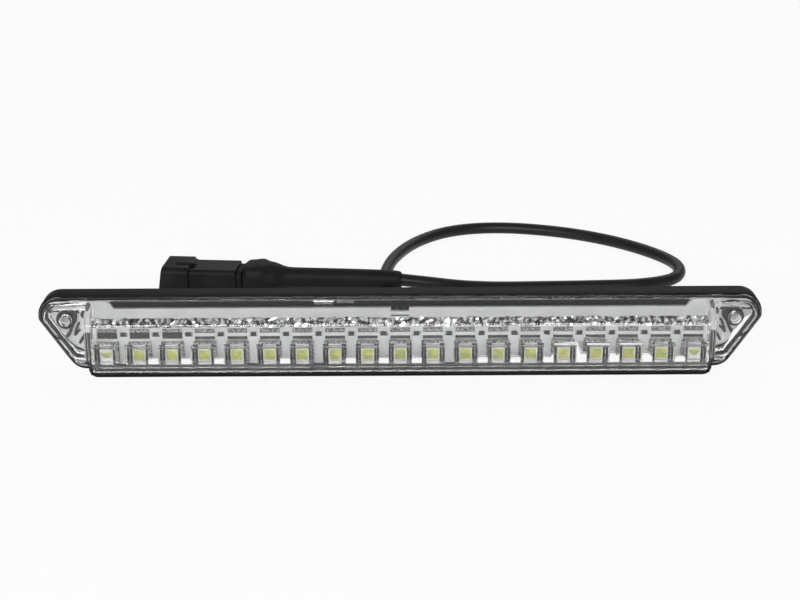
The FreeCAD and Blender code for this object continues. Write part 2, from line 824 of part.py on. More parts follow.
def make_tube(label, points, diameter):
    path, radii = rounded_path(points)
    heading = path.Edges[0].tangentAt(path.Edges[0].FirstParameter)
    ring = Part.Wire(Part.Circle(FreeCAD.Vector(*points[0]), heading, diameter / 2).toShape())
    tube = doc.addObject("Part::Feature", label)
    tube.Label = label
    tube.Shape = Part.Wire(path.Edges).makePipeShell([ring], True, False)
    share = tube.Shape.Volume / (math.pi * diameter ** 2 / 4 * path.Length)
    print(label, "length %.1f mm, volume against section times length %.4f" % (path.Length, share))
    print(label, "radii", ", ".join("%.1f" % r for r in radii))
    return tube


def make_wires():
    # two stubs from the grommet's inner end to the board's back
    start = size["grommet_collar_reach"]
    wires = []
    for label, side in (("supply_wire", -1), ("return_wire", 1)):
        x = size["wire_gap"] / 2 * side
        wires.append(make_round(label, x, start, GROMMET_Z, size["wire_dia"], BOARD_BACK - start))
    return wires


def make_cable():
    # it leaves the grommet along +Y and comes into the plug along the plug's own axis
    exit_y = number(HALF_DEPTH + size["grommet_tail_length"])
    exit_point = FreeCAD.Vector(0, exit_y, number(GROMMET_Z))
    exit_lead = exit_point + FreeCAD.Vector(0, number(size["cable_exit_run"]), 0)
    plug = plug_placement()
    plug_lead = plug.multVec(FreeCAD.Vector(-number(size["cable_plug_run"]), 0, 0))
    points = [tuple(exit_point), tuple(exit_lead)] + CABLE_MIDDLE + [tuple(plug_lead), tuple(plug.Base)]
    return make_tube("cable", points, number(size["cable_dia"]))


# PLUG ON THE LEAD
# it is built along its own x, from the end of the sleeve to the mating face, and then turned and set down


def plug_placement():
    turn = FreeCAD.Rotation(FreeCAD.Vector(0, 0, 1), 180 - number(size["plug_yaw"]))
    place = FreeCAD.Vector(0, number(size["plug_back"]), number(size["plug_axis_height"]))
    return FreeCAD.Placement(place, turn)


def rounded_section(x, width, low, high, corner):
    # a closed rounded rectangle across the plug, made of four lines and four arcs
    out = width / 2 - corner
    top = high - corner
    bottom = low + corner
    edges = []
    ends = []
    for y, z, angle in ((out, top, 0), (-out, top, 90), (-out, bottom, 180), (out, bottom, 270)):
        centre = FreeCAD.Vector(x, y, z)
        turned = [math.radians(angle + step) for step in (0, 45, 90)]
        ends.append([centre + FreeCAD.Vector(0, math.cos(a), math.sin(a)) * corner for a in turned])
    for index, (first, middle, last) in enumerate(ends):
        edges.append(Part.Arc(first, middle, last).toShape())
        following = ends[(index + 1) % len(ends)][0]
        edges.append(Part.LineSegment(last, following).toShape())
    return Part.Wire(edges)


def section_prism(x, length, width, low, high, corner):
    face = Part.Face(rounded_section(x, width, low, high, corner))
    return face.extrude(FreeCAD.Vector(length, 0, 0))


def place_plug_piece(label, shape):
    piece = doc.addObject("Part::Feature", label)
    piece.Label = label
    piece.Shape = shape
    piece.Placement = plug_placement()
    return piece


def plug_stations():
    sleeve = number(size["sleeve_length"])
    taper = sleeve + number(size["boot_taper_length"])
    head = taper + number(size["boot_head_length"])
    seal = head + number(size["seal_length"])
    body = seal + number(size["body_length"])
    collar = body + number(size["collar_length"])
    return sleeve, taper, head, seal, body, collar


def from_axis(alias):
    return number(size[alias]) - number(size["plug_axis_height"])


def leaning_cut(end, slant, low, high, width):
    # what is taken off the mating face, so that it leans back towards the top
    corners = [(end, low), (end, high), (end - slant, high), (end, low)]
    side = Part.makePolygon([FreeCAD.Vector(x, -width / 2, z) for x, z in corners])
    return Part.Face(side).extrude(FreeCAD.Vector(0, width, 0))


def make_plug():
    sleeve_end, taper_end, head_end, seal_end, body_end, collar_end = plug_stations()
    along = FreeCAD.Vector(1, 0, 0)
    sleeve_r = number(size["sleeve_dia"]) / 2
    rounding = number(size["sleeve_end_radius"])
    nose = Part.makeCone(sleeve_r - rounding, sleeve_r, rounding, FreeCAD.Vector(0, 0, 0), along)
    sleeve = Part.makeCylinder(sleeve_r, sleeve_end - rounding, FreeCAD.Vector(rounding, 0, 0), along)
    head_low = from_axis("boot_head_low")
    head_high = from_axis("boot_head_high")
    head_width = number(size["boot_head_width"])
    corner = number(size["boot_corner"])
    head = section_prism(taper_end, head_end - taper_end, head_width, head_low, head_high, corner)
    slim = rounded_section(sleeve_end, sleeve_r * 2, -sleeve_r, sleeve_r, sleeve_r * NEARLY_ROUND)
    wide = rounded_section(taper_end, head_width, head_low, head_high, corner)
    taper = Part.makeLoft([slim, wide], True, True)
    boot = place_plug_piece("connector_boot", sleeve.fuse([nose, taper, head]).removeSplitter())

    ring = section_prism(
        head_end, seal_end - head_end, number(size["seal_width"]),
        from_axis("seal_low"), from_axis("seal_high"), number(size["seal_corner"]),
    )
    seal = place_plug_piece("connector_seal", ring)

    body = section_prism(
        seal_end, body_end - seal_end, number(size["body_width"]),
        from_axis("body_low"), from_axis("body_high"), number(size["body_corner"]),
    )
    floor = -number(size["plug_axis_height"])
    collar_width = number(size["collar_width"])
    collar_high = from_axis("collar_high")
    collar = section_prism(
        body_end, collar_end - body_end, collar_width, floor, collar_high, number(size["collar_corner"])
    )
    wall = number(size["socket_wall"])
    socket_start = collar_end - number(size["socket_depth"])
    socket_corner = number(size["socket_corner"])
    socket = section_prism(
        socket_start, collar_end - socket_start, collar_width - 2 * wall,
        floor + wall, collar_high - wall, socket_corner,
    )
    latch_width = number(size["latch_width"])
    latch = Part.makeBox(
        number(size["latch_length"]), latch_width, number(size["latch_rise"]),
        FreeCAD.Vector(body_end - number(size["latch_overhang"]), -latch_width / 2, collar_high),
    )
    slant = leaning_cut(collar_end, number(size["collar_slant"]), floor, collar_high, collar_width)
    shell = body.fuse([collar, latch]).cut([socket, slant]).removeSplitter()
    housing = place_plug_piece("connector_housing", shell)

    wedge_gap = number(size["wedge_clearance"])
    wedge = section_prism(
        socket_start, number(size["wedge_thick"]), collar_width - 2 * wall - 2 * wedge_gap,
        floor + wall + wedge_gap, collar_high - wall - wedge_gap, socket_corner,
    )
    blade_length, blade_width, blade_thick = [
        number(size[alias]) for alias in ("blade_length", "blade_width", "blade_thick")
    ]
    blade_low = (floor + collar_high - blade_thick) / 2
    pieces = [boot, seal, housing]
    for label, side in (("contact_left", -1), ("contact_right", 1)):
        blade_side = side * number(size["blade_pitch"]) / 2 - blade_width / 2
        blade_corner = FreeCAD.Vector(socket_start, blade_side, blade_low)
        blade = Part.makeBox(blade_length, blade_width, blade_thick, blade_corner)
        wedge = wedge.cut(blade)
        pieces.append(place_plug_piece(label, blade))
    pieces.append(place_plug_piece("terminal_wedge", wedge))
    return pieces


# BUILD, TEST AND WRITE


def write_parts(pieces):
    doc.recompute()
    failed = [thing.Label for thing in doc.Objects if "Invalid" in thing.State or "Error" in thing.State]
    if failed:
        raise RuntimeError("failed objects: " + ", ".join(failed))
    os.makedirs("parts", exist_ok=True)
    for piece in pieces:
        shape = piece.Shape
        if shape.isNull() or not shape.isValid():
            raise RuntimeError("bad shape: " + piece.Label)
        shape.exportStep("parts/" + piece.Label + ".step")
        print("%-22s solids %2d volume %9.1f" % (piece.Label, len(shape.Solids), shape.Volume))


def main():
    pieces = [make_tray(), make_gasket(), make_lens(), make_board()]
    pieces += make_leds()
    pieces += make_driver_parts()
    pieces += make_board_screws()
    pieces.append(make_grommet())
    pieces += make_wires()
    pieces.append(make_cable())
    pieces += make_plug()
    write_parts(pieces)


main()
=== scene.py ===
import math

import bmesh
import bpy
from mathutils import Matrix, Vector


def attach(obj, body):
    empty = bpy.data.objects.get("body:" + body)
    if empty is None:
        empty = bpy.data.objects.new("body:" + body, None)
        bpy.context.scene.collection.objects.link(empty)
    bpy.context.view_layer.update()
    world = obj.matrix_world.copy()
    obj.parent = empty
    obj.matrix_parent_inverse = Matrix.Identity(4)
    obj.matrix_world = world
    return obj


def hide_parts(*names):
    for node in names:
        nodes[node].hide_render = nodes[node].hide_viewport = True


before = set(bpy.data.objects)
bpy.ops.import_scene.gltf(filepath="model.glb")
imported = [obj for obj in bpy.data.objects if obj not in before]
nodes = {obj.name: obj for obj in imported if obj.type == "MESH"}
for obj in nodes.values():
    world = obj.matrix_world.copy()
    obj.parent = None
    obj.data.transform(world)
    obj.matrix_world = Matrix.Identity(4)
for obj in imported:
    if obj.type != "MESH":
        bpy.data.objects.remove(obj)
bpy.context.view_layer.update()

mm = 0.001


# everyday helpers, all in millimetres

def clearPicks():
    if bpy.context.object and bpy.context.object.mode != "OBJECT":
        bpy.ops.object.mode_set(mode="OBJECT")
    bpy.ops.object.select_all(action="DESELECT")


def makeActive(piece):
    clearPicks()
    piece.select_set(True)
    bpy.context.view_layer.objects.active = piece


def startEdit(piece, mode="FACE"):
    makeActive(piece)
    bpy.ops.object.mode_set(mode="EDIT")
    bpy.ops.mesh.select_mode(type=mode)
    bpy.ops.mesh.select_all(action="DESELECT")


def endEdit():
    bpy.ops.object.mode_set(mode="OBJECT")


def pickFaces(piece, test):
    # test gets each face's middle and its normal
    shape = bmesh.from_edit_mesh(piece.data)
    for face in shape.faces:
        face.select = bool(test(face.calc_center_median() / mm, face.normal))
    bmesh.update_edit_mesh(piece.data)


def pickEdges(piece, test):
    # test gets both ends of each edge
    shape = bmesh.from_edit_mesh(piece.data)
    for edge in shape.edges:
        a, b = [corner.co / mm for corner in edge.verts]
        edge.select = bool(test(a, b))
    bmesh.update_edit_mesh(piece.data)


def isFront(middle, normal):
    return normal.y < -0.9


def cutAway(place, normal, inner=False):
    # cuts the edited piece at a plane and drops the normal's side, or with inner the other one
    bpy.ops.mesh.select_all(action="SELECT")
    bpy.ops.mesh.bisect(plane_co=Vector(place) * mm, plane_no=normal, use_fill=True,
                        clear_outer=not inner, clear_inner=inner)


def mergedCopy(nodeName, label):
    # a copy of a CAD node with its loose triangles joined into clean faces
    piece = bpy.data.objects.new(label, nodes[nodeName].data.copy())
    bpy.context.collection.objects.link(piece)
    startEdit(piece)
    bpy.ops.mesh.select_all(action="SELECT")
    bpy.ops.mesh.remove_doubles(threshold=0.002 * mm)
    bpy.ops.mesh.dissolve_limited(angle_limit=math.radians(1))
    endEdit()
    return piece


def addBlock(label, size, place):
    clearPicks()
    bpy.ops.mesh.primitive_cube_add(size=1, location=Vector(place) * mm)
    piece = bpy.context.object
    piece.name = label
    piece.scale = Vector(size) * mm
    bpy.ops.object.transform_apply(location=True, rotation=True, scale=True)
    return piece


def addRod(label, diameter, length, place, sides, ends="NGON"):
    # a rod along y
    clearPicks()
    bpy.ops.mesh.primitive_cylinder_add(
        vertices=sides, radius=diameter / 2 * mm, depth=length * mm, end_fill_type=ends,
        location=Vector(place) * mm, rotation=(math.pi / 2, 0, 0))
    piece = bpy.context.object
    piece.name = label
    bpy.ops.object.transform_apply(location=True, rotation=True, scale=True)
    return piece


def addLine(label, runs, diameter, steps, roundness):
    line = bpy.data.curves.new(label, "CURVE")
    line.dimensions = "3D"
    line.resolution_u = steps
    line.bevel_depth = diameter / 2 * mm
    line.bevel_resolution = roundness
    line.use_fill_caps = True
    for places in runs:
        run = line.splines.new("NURBS")
        run.points.add(len(places) - 1)
        for point, place in zip(run.points, places):
            point.co = (*(Vector(place) * mm), 1)
        run.order_u = min(3, len(places))
        run.use_endpoint_u = True
    piece = bpy.data.objects.new(label, line)
    bpy.context.collection.objects.link(piece)
    return piece


def useModifier(piece, kind, **values):
    makeActive(piece)
    made = piece.modifiers.new(kind.title(), kind)
    for key, value in values.items():
        setattr(made, key, value)
    bpy.ops.object.modifier_apply(modifier=made.name)


def softenEdges(piece, width, segments=2, angle=30):
    useModifier(piece, "BEVEL", width=width * mm, segments=segments, limit_method="ANGLE",
                angle_limit=math.radians(angle), harden_normals=False)
    bpy.ops.object.shade_smooth_by_angle(angle=math.radians(35))


def smoothOut(piece, levels):
    useModifier(piece, "SUBSURF", levels=levels, render_levels=levels)
    bpy.ops.object.shade_smooth_by_angle(angle=math.radians(40))


def repeatAlong(piece, count, step):
    useModifier(piece, "ARRAY", count=count, use_relative_offset=False, use_constant_offset=True,
                constant_offset_displace=Vector(step) * mm)


def joinAll(pieces, label):
    clearPicks()
    for piece in pieces:
        piece.select_set(True)
    bpy.context.view_layer.objects.active = pieces[0]
    bpy.ops.object.join()
    pieces[0].name = label
    return pieces[0]


def sideName(stem, side):
    return stem + ("Left" if side < 0 else "Right")


def settle(piece, finish, slot, *replaced):
    piece.data.materials.clear()
    piece.data.materials.append(finish)
    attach(piece, "root")
    if replaced:
        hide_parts(*replaced)
    return piece


# shader helpers

def linkGroup(tree, group, **values):
    spot = tree.nodes.new("ShaderNodeGroup")
    spot.node_tree = group
    for key, value in values.items():
        spot.inputs[key].default_value = value
    return spot


def newGroup(name, inputs, outputs):
    group = bpy.data.node_groups.new(name, "ShaderNodeTree")
    for label, start in inputs:
        kind = "NodeSocketColor" if isinstance(start, tuple) else "NodeSocketFloat"
        made = group.interface.new_socket(label, in_out="INPUT", socket_type=kind)
        made.default_value = start
    for label, kind in outputs:
        group.interface.new_socket(label, in_out="OUTPUT", socket_type=kind)
    return group, group.nodes.new("NodeGroupInput"), group.nodes.new("NodeGroupOutput")


def mouldedGrainGroup():
    # fine eroded skin for the bump, broad patches for gloss and tone
    group, source, sink = newGroup(
        "mouldedGrain",
        [("Grain", 2200.0), ("Patch", 60.0), ("Smooth", 0.35), ("Rough", 0.5),
         ("Dark", (0.01, 0.01, 0.01, 1)), ("Light", (0.02, 0.02, 0.02, 1))],
        [("Height", "NodeSocketFloat"), ("Roughness", "NodeSocketFloat"), ("Color", "NodeSocketColor")],
    )
    place = group.nodes.new("ShaderNodeTexCoord")
    fine = group.nodes.new("ShaderNodeTexNoise")
    fine.inputs["Detail"].default_value = 2.0
    broad = group.nodes.new("ShaderNodeTexNoise")
    broad.inputs["Detail"].default_value = 3.0
    spread = group.nodes.new("ShaderNodeMapRange")
    sharper = group.nodes.new("ShaderNodeMapRange")
    sharper.inputs["From Min"].default_value = 0.38
    sharper.inputs["From Max"].default_value = 0.62
    tone = group.nodes.new("ShaderNodeMix")
    tone.data_type = "RGBA"
    link = group.links.new
    link(place.outputs["Object"], fine.inputs["Vector"])
    link(place.outputs["Object"], broad.inputs["Vector"])
    link(source.outputs["Grain"], fine.inputs["Scale"])
    link(source.outputs["Patch"], broad.inputs["Scale"])
    link(broad.outputs["Fac"], spread.inputs["Value"])
    link(source.outputs["Smooth"], spread.inputs["To Min"])
    link(source.outputs["Rough"], spread.inputs["To Max"])
    link(broad.outputs["Fac"], sharper.inputs["Value"])
    link(sharper.outputs["Result"], tone.inputs["Factor"])
    link(source.outputs["Dark"], tone.inputs["A"])
    link(source.outputs["Light"], tone.inputs["B"])
    link(fine.outputs["Fac"], sink.inputs["Height"])
    link(spread.outputs["Result"], sink.inputs["Roughness"])
    link(tone.outputs["Result"], sink.inputs["Color"])
    return group


mouldedGrain = mouldedGrainGroup()


def grey(value):
    return (value, value, value)


def newFinish(name):
    finish = bpy.data.materials.new(name)
    finish.use_nodes = True
    return finish, finish.node_tree, finish.node_tree.nodes["Principled BSDF"]


def linkBump(tree, shader, skin, strength, depth):
    bump = tree.nodes.new("ShaderNodeBump")
    bump.inputs["Strength"].default_value = strength
    bump.inputs["Distance"].default_value = depth * mm
    tree.links.new(skin.outputs["Height"], bump.inputs["Height"])
    tree.links.new(bump.outputs["Normal"], shader.inputs["Normal"])


def grainedFinish(name, dark, light, smooth, rough, grain=2200.0, patch=60.0, depth=0.03,
                  specular=0.5, metallic=0.0):
    finish, tree, shader = newFinish(name)
    shader.inputs["Specular IOR Level"].default_value = specular
    shader.inputs["Metallic"].default_value = metallic
    skin = linkGroup(tree, mouldedGrain, Grain=grain, Patch=patch, Smooth=smooth, Rough=rough,
                     Dark=(*dark, 1), Light=(*light, 1))
    tree.links.new(skin.outputs["Color"], shader.inputs["Base Color"])
    tree.links.new(skin.outputs["Roughness"], shader.inputs["Roughness"])
    linkBump(tree, shader, skin, 0.5, depth)
    return finish


def clearFinish(name, color, roughness, ripple, depth):
    # clear acrylic with a slight moulding ripple
    finish, tree, shader = newFinish(name)
    shader.inputs["Base Color"].default_value = (*color, 1)
    shader.inputs["Transmission Weight"].default_value = 1.0
    shader.inputs["IOR"].default_value = 1.49
    shader.inputs["Roughness"].default_value = roughness
    skin = linkGroup(tree, mouldedGrain, Grain=ripple)
    linkBump(tree, shader, skin, 0.4, depth)
    return finish


blackHousing = grainedFinish("blackHousing", grey(0.004), grey(0.008), 0.42, 0.58, specular=0.08)
sealRubber = grainedFinish("sealRubber", grey(0.006), grey(0.010), 0.5, 0.65, grain=900.0, specular=0.1)
lensClear = clearFinish("lensClear", (0.98, 0.985, 0.985), roughness=0.0, ripple=120.0, depth=0.004)
boardWhite = grainedFinish("boardWhite", (0.78, 0.79, 0.79), (0.86, 0.86, 0.85), 0.3, 0.42,
                           grain=1500.0, patch=90.0, depth=0.01)
ledWhite = grainedFinish("ledWhite", (0.80, 0.80, 0.78), (0.88, 0.88, 0.85), 0.3, 0.45,
                         grain=2500.0, patch=300.0, depth=0.01)
phosphorYellow = grainedFinish("phosphorYellow", (0.40, 0.45, 0.13), (0.62, 0.60, 0.14), 0.35, 0.5,
                               grain=3000.0, patch=420.0, depth=0.02)
# grey with dark and bright patches: real tinned pads, and painted reflection on the LED frames and the
# ladder's top bars
tinAndPaintedReflection = grainedFinish("tinAndPaintedReflection", (0.02, 0.02, 0.022), (0.56, 0.56, 0.58), 0.3, 0.5,
                       grain=1300.0, patch=1300.0, depth=0.2, specular=0.4)
# metal in near-black and light patches; the near-black ones are painted dark reflections
sparkChromeAndPaintedDark = grainedFinish("sparkChromeAndPaintedDark", grey(0.003), grey(0.90), 0.12, 0.26,
                            grain=900.0, patch=650.0, depth=0.02, metallic=0.9)
barGrey = grainedFinish("barGrey", (0.30, 0.30, 0.31), (0.46, 0.46, 0.47), 0.25, 0.4,
                        grain=1500.0, patch=240.0, depth=0.03)
chipBlack = grainedFinish("chipBlack", grey(0.008), grey(0.02), 0.35, 0.5,
                          grain=2500.0, patch=400.0, depth=0.02, specular=0.3)
screwBlack = grainedFinish("screwBlack", grey(0.02), grey(0.05), 0.25, 0.4,
                           grain=1800.0, patch=300.0, depth=0.01, metallic=0.8)
canSleeve = grainedFinish("canSleeve", (0.10, 0.10, 0.11), (0.42, 0.42, 0.44), 0.1, 0.2,
                          grain=900.0, patch=400.0, depth=0.02, metallic=1.0)
# the gasket's rubber in a paler tone: painted light for where it shows under the clear ears
litGasket = grainedFinish("litGasket", grey(0.14), grey(0.22), 0.4, 0.55,
                           grain=900.0, patch=120.0, depth=0.02, specular=0.3)
darkInsulation = grainedFinish("darkInsulation", (0.014, 0.010, 0.010), (0.024, 0.016, 0.016), 0.35, 0.45,
                               grain=900.0)
cableSheath = grainedFinish("cableSheath", grey(0.005), grey(0.009), 0.36, 0.46,
                            grain=1300.0, patch=90.0, depth=0.04, specular=0.25)
bootRubber = grainedFinish("bootRubber", grey(0.006), grey(0.010), 0.46, 0.6,
                           grain=1500.0, patch=80.0, depth=0.04, specular=0.12)
plugPlastic = grainedFinish("plugPlastic", grey(0.006), grey(0.010), 0.42, 0.56,
                            grain=2000.0, patch=70.0, depth=0.03, specular=0.12)
contactTin = grainedFinish("contactTin", grey(0.50), (0.72, 0.72, 0.71), 0.2, 0.35,
                           grain=1400.0, patch=300.0, depth=0.01, metallic=1.0)

finishes = {  # every other node is an LED
    "base_housing": blackHousing, "lens_gasket": sealRubber, "lens_cover": lensClear,
    "circuit_board": boardWhite, "led_phosphor": phosphorYellow, "board_resistors": chipBlack,
    "driver_chip": chipBlack, "smoothing_capacitor": canSleeve, "input_diode": canSleeve,
    "board_screw_left": screwBlack, "board_screw_right": screwBlack, "cable_grommet": sealRubber,
    "supply_wire": darkInsulation, "return_wire": chipBlack, "cable": cableSheath,
    "connector_boot": bootRubber, "connector_seal": sealRubber, "connector_housing": plugPlastic,
    "contact_left": contactTin, "contact_right": contactTin, "terminal_wedge": plugPlastic,
}
for name, node in nodes.items():
    node.data.materials.clear()
    node.data.materials.append(finishes.get(name, ledWhite))
print("finishes set")


# camera, floor and light
shot = {"elevation": 20.0, "distance": 0.600, "lens": 70.2, "aim": (0.0, 0.0, 0.0323), "roll": -0.28}
studio = {
    "floorSize": 8.0, "floorColor": (0.9, 0.9, 0.9), "whiteShare": 0.9, "zenith": 0.48, "horizon": 0.30,
    "lamps": (  # name, place, aim, width, height, power
        ("frontBox", (-0.3, -1.45, 0.62), (0.0, 0.0, 0.02), 1.6, 0.4, 25.0),
        ("backBox", (0.3, 1.5, 0.9), (0.0, 0.1, 0.0), 1.4, 0.25, 3.0),
    ),
}


def placeCamera():
    eye = bpy.data.cameras.new("shot")
    eye.lens = shot["lens"]
    eye.clip_start = 0.01
    holder = bpy.data.objects.new("shot", eye)
    bpy.context.collection.objects.link(holder)
    tilt = math.radians(shot["elevation"])
    aim = Vector(shot["aim"])
    holder.location = aim + Vector((0, -math.cos(tilt), math.sin(tilt))) * shot["distance"]
    turn = (aim - holder.location).to_track_quat("-Z", "Y").to_matrix()
    holder.rotation_euler = (turn @ Matrix.Rotation(math.radians(shot["roll"]), 3, "Z")).to_euler()
    bpy.context.scene.camera = holder


def layFloor():
    # seen by the eye, in gloss or through clear plastic it is a white table that keeps the shadows
    clearPicks()
    bpy.ops.mesh.primitive_plane_add(size=studio["floorSize"], location=(0, 0, 0))
    floor = bpy.context.object
    floor.name = "floor"
    finish, tree, shader = newFinish("paleFloor")
    shader.inputs["Base Color"].default_value = (*studio["floorColor"], 1)
    shader.inputs["Roughness"].default_value = 0.9
    shader.inputs["Specular IOR Level"].default_value = 0.0
    shine = tree.nodes.new("ShaderNodeEmission")
    shine.inputs["Color"].default_value = (1, 1, 1, 1)
    shine.inputs["Strength"].default_value = 1.0
    ray = tree.nodes.new("ShaderNodeLightPath")
    either = tree.nodes.new("ShaderNodeMath")
    either.operation = "MAXIMUM"
    third = tree.nodes.new("ShaderNodeMath")
    third.operation = "MAXIMUM"
    share = tree.nodes.new("ShaderNodeMath")
    share.operation = "MULTIPLY"
    share.inputs[1].default_value = studio["whiteShare"]
    blend = tree.nodes.new("ShaderNodeMixShader")
    link = tree.links.new
    link(ray.outputs["Is Camera Ray"], either.inputs[0])
    link(ray.outputs["Is Glossy Ray"], either.inputs[1])
    link(either.outputs[0], third.inputs[0])
    link(ray.outputs["Is Transmission Ray"], third.inputs[1])
    link(third.outputs[0], share.inputs[0])
    link(share.outputs[0], blend.inputs["Fac"])
    link(shader.outputs["BSDF"], blend.inputs[1])
    link(shine.outputs["Emission"], blend.inputs[2])
    link(blend.outputs["Shader"], tree.nodes["Material Output"].inputs["Surface"])
    floor.data.materials.append(finish)


def lightStudio():
    # the sky is darker towards the horizon, so that edges of clear plastic draw lines
    world = bpy.data.worlds.new("studio")
    bpy.context.scene.world = world
    world.use_nodes = True
    tree = world.node_tree
    sky = tree.nodes["Background"]
    sky.inputs["Color"].default_value = (1, 1, 1, 1)
    place = tree.nodes.new("ShaderNodeTexCoord")
    split = tree.nodes.new("ShaderNodeSeparateXYZ")
    fade = tree.nodes.new("ShaderNodeMapRange")
    fade.inputs["From Min"].default_value = 0.1
    fade.inputs["From Max"].default_value = 0.8
    fade.inputs["To Min"].default_value = studio["horizon"]
    fade.inputs["To Max"].default_value = studio["zenith"]
    tree.links.new(place.outputs["Generated"], split.inputs["Vector"])
    tree.links.new(split.outputs["Z"], fade.inputs["Value"])
    tree.links.new(fade.outputs["Result"], sky.inputs["Strength"])
    for name, spot, aim, wide, tall, power in studio["lamps"]:
        lamp = bpy.data.lights.new(name, "AREA")
        lamp.shape = "RECTANGLE"
        lamp.size = wide
        lamp.size_y = tall
        lamp.energy = power
        holder = bpy.data.objects.new(name, lamp)
        bpy.context.collection.objects.link(holder)
        holder.location = spot
        holder.rotation_euler = (Vector(aim) - Vector(spot)).to_track_quat("-Z", "Y").to_euler()


placeCamera()
layFloor()
lightStudio()
bpy.context.scene.view_settings.view_transform = "Standard"
print("camera, floor and light set")


# lead: the model's route, drooping a little more at both ends
lead = {
    "diameter": 5.6, "steps": 12, "roundness": 6,
    "route": [
        (0.0, 20.0, 26.2), (0.0, 26.0, 25.7), (-0.8, 36.0, 20.6), (-2.6, 48.0, 13.2), (-4.8, 63.0, 6.0),
        (-6.4, 79.0, 2.8), (-7.4, 99.0, 2.8), (-6.8, 119.0, 2.8), (-2.6, 142.0, 2.8), (8.4, 166.0, 2.8),
        (26.0, 183.4, 2.8), (51.0, 188.0, 2.8), (80.0, 180.0, 2.8), (104.0, 165.0, 2.8),
        (122.0, 145.0, 2.8), (131.0, 126.0, 2.8), (127.0, 107.6, 2.8), (110.0, 99.4, 2.8),
        (86.0, 97.8, 2.8), (62.0, 97.0, 2.8), (42.0, 93.4, 3.9), (26.0, 88.6, 6.4),
        (11.954, 85.954, 9.2), (0.0, 87.0, 10.2),
    ],
}


def layLead():
    piece = addLine("lead", [lead["route"]], lead["diameter"], lead["steps"], lead["roundness"])
    return settle(piece, cableSheath, "cable_sheath", "cable")


leadPiece = layLead()
print("lead laid")


# black tray, with its moulded edges eased
tray = {"edge": 0.35}


def makeTray():
    piece = mergedCopy("base_housing", "tray")
    softenEdges(piece, tray["edge"])
    return settle(piece, blackHousing, "black_housing", "base_housing")


makeTray()
print("tray made")


# clear lens: a stepped rim on each ear, ribs laid almost flat, rounded low corners and ridges
lens = {
    "earFront": -3.0, "earStart": 121.0, "rimStep": 0.8, "rimRise": -0.45,
    "ribFace": -6.8, "ribFrom": 18.0, "ribShift": -1.15,
    "foot": 2.2, "footFade": 3.0, "footLift": 0.5,
    "boxEnd": 120.5, "lowCorner": 3.0, "lowCornerTop": 9.5, "ridge": 0.45, "near": 0.05,
}


def isEarFront(middle, normal):
    onFace = abs(middle.y - lens["earFront"]) < lens["near"]
    return normal.y < -0.99 and abs(middle.x) > lens["earStart"] and onFace


def isRibFace(middle, normal):
    onFace = abs(middle.y - lens["ribFace"]) < lens["near"]
    return normal.y > 0.99 and middle.z > lens["ribFrom"] and onFace


def isLowCorner(a, b):
    atEnd = abs(abs(a.x) - lens["boxEnd"]) < lens["near"] and abs(a.x - b.x) < lens["near"]
    return atEnd and abs(a.y - b.y) > 4 and max(a.z, b.z) < lens["lowCornerTop"]


def isLongRidge(a, b):
    return abs(a.x - b.x) > 200 and min(a.y, b.y) < 0.2


def makeLens():
    piece = mergedCopy("lens_cover", "lens")
    startEdit(piece)
    pickFaces(piece, isEarFront)
    bpy.ops.mesh.inset(thickness=lens["rimStep"] * mm, depth=lens["rimRise"] * mm)
    pickFaces(piece, isRibFace)
    bpy.ops.transform.translate(value=(0, lens["ribShift"] * mm, 0))
    shape = bmesh.from_edit_mesh(piece.data)
    for corner in shape.verts:  # lower rim set back, so that the tray's lip shows below it
        rise = corner.co.z / mm - lens["foot"]
        corner.co.z += lens["footLift"] * max(0, 1 - rise / lens["footFade"]) * mm
    bmesh.update_edit_mesh(piece.data)
    bpy.ops.mesh.select_mode(type="EDGE")
    pickEdges(piece, isLowCorner)
    bpy.ops.mesh.bevel(offset=lens["lowCorner"] * mm, segments=5)
    bpy.ops.mesh.select_all(action="DESELECT")
    pickEdges(piece, isLongRidge)
    bpy.ops.mesh.bevel(offset=lens["ridge"] * mm, segments=3)
    endEdit()
    bpy.ops.object.shade_smooth_by_angle(angle=math.radians(20))
    return settle(piece, lensClear, "clear_lens", "lens_cover")


makeLens()
print("lens made")


# gasket: dark along the box; under the ears a pale copy of the same rubber, painted light where it shows
# through the clear plastic
gasket = {"split": 121.2, "edge": 0.1}


def makeGasket():
    for label, finish, sides in (("gasketBox", sealRubber, (-1, 1)), ("litGasketLeft", litGasket, (-1,)),
                                 ("litGasketRight", litGasket, (1,))):
        isBox = label == "gasketBox"
        piece = mergedCopy("lens_gasket", label)
        startEdit(piece)
        for side in sides:
            cutAway((side * gasket["split"], 0, 0), (side, 0, 0), inner=not isBox)
        endEdit()
        softenEdges(piece, gasket["edge"], 1, 60)
        settle(piece, finish, "seal_rubber", *(("lens_gasket",) if isBox else ()))


makeGasket()
print("gasket made")


# white board, cut lower between its end tabs, whose inner corners slope
board = {
    "tabInner": 112.9, "tabTop": 31.2, "slope": 2.0, "cutFrom": 27.0, "cut": 1.2, "edge": 0.1, "near": 0.1,
}


def isTabCorner(a, b):
    atTab = abs(abs(a.x) - board["tabInner"]) < board["near"] and a.z > board["tabTop"] - board["near"]
    return atTab and abs(a.y - b.y) > 1


def makeBoard():
    piece = mergedCopy("circuit_board", "board")
    startEdit(piece, "VERT")
    shape = bmesh.from_edit_mesh(piece.data)
    for corner in shape.verts:
        spot = corner.co / mm
        between = abs(spot.x) < board["tabInner"] + board["near"]
        corner.select = between and board["cutFrom"] < spot.z < board["tabTop"] - 1
    shape.select_flush_mode()
    bmesh.update_edit_mesh(piece.data)
    bpy.ops.transform.translate(value=(0, 0, -board["cut"] * mm))
    bpy.ops.mesh.select_mode(type="EDGE")
    pickEdges(piece, isTabCorner)
    bpy.ops.mesh.bevel(offset=board["slope"] * mm, segments=2)
    endEdit()
    softenEdges(piece, board["edge"], 1, 60)
    return settle(piece, boardWhite, "white_board", "circuit_board")


makeBoard()
print("board made")
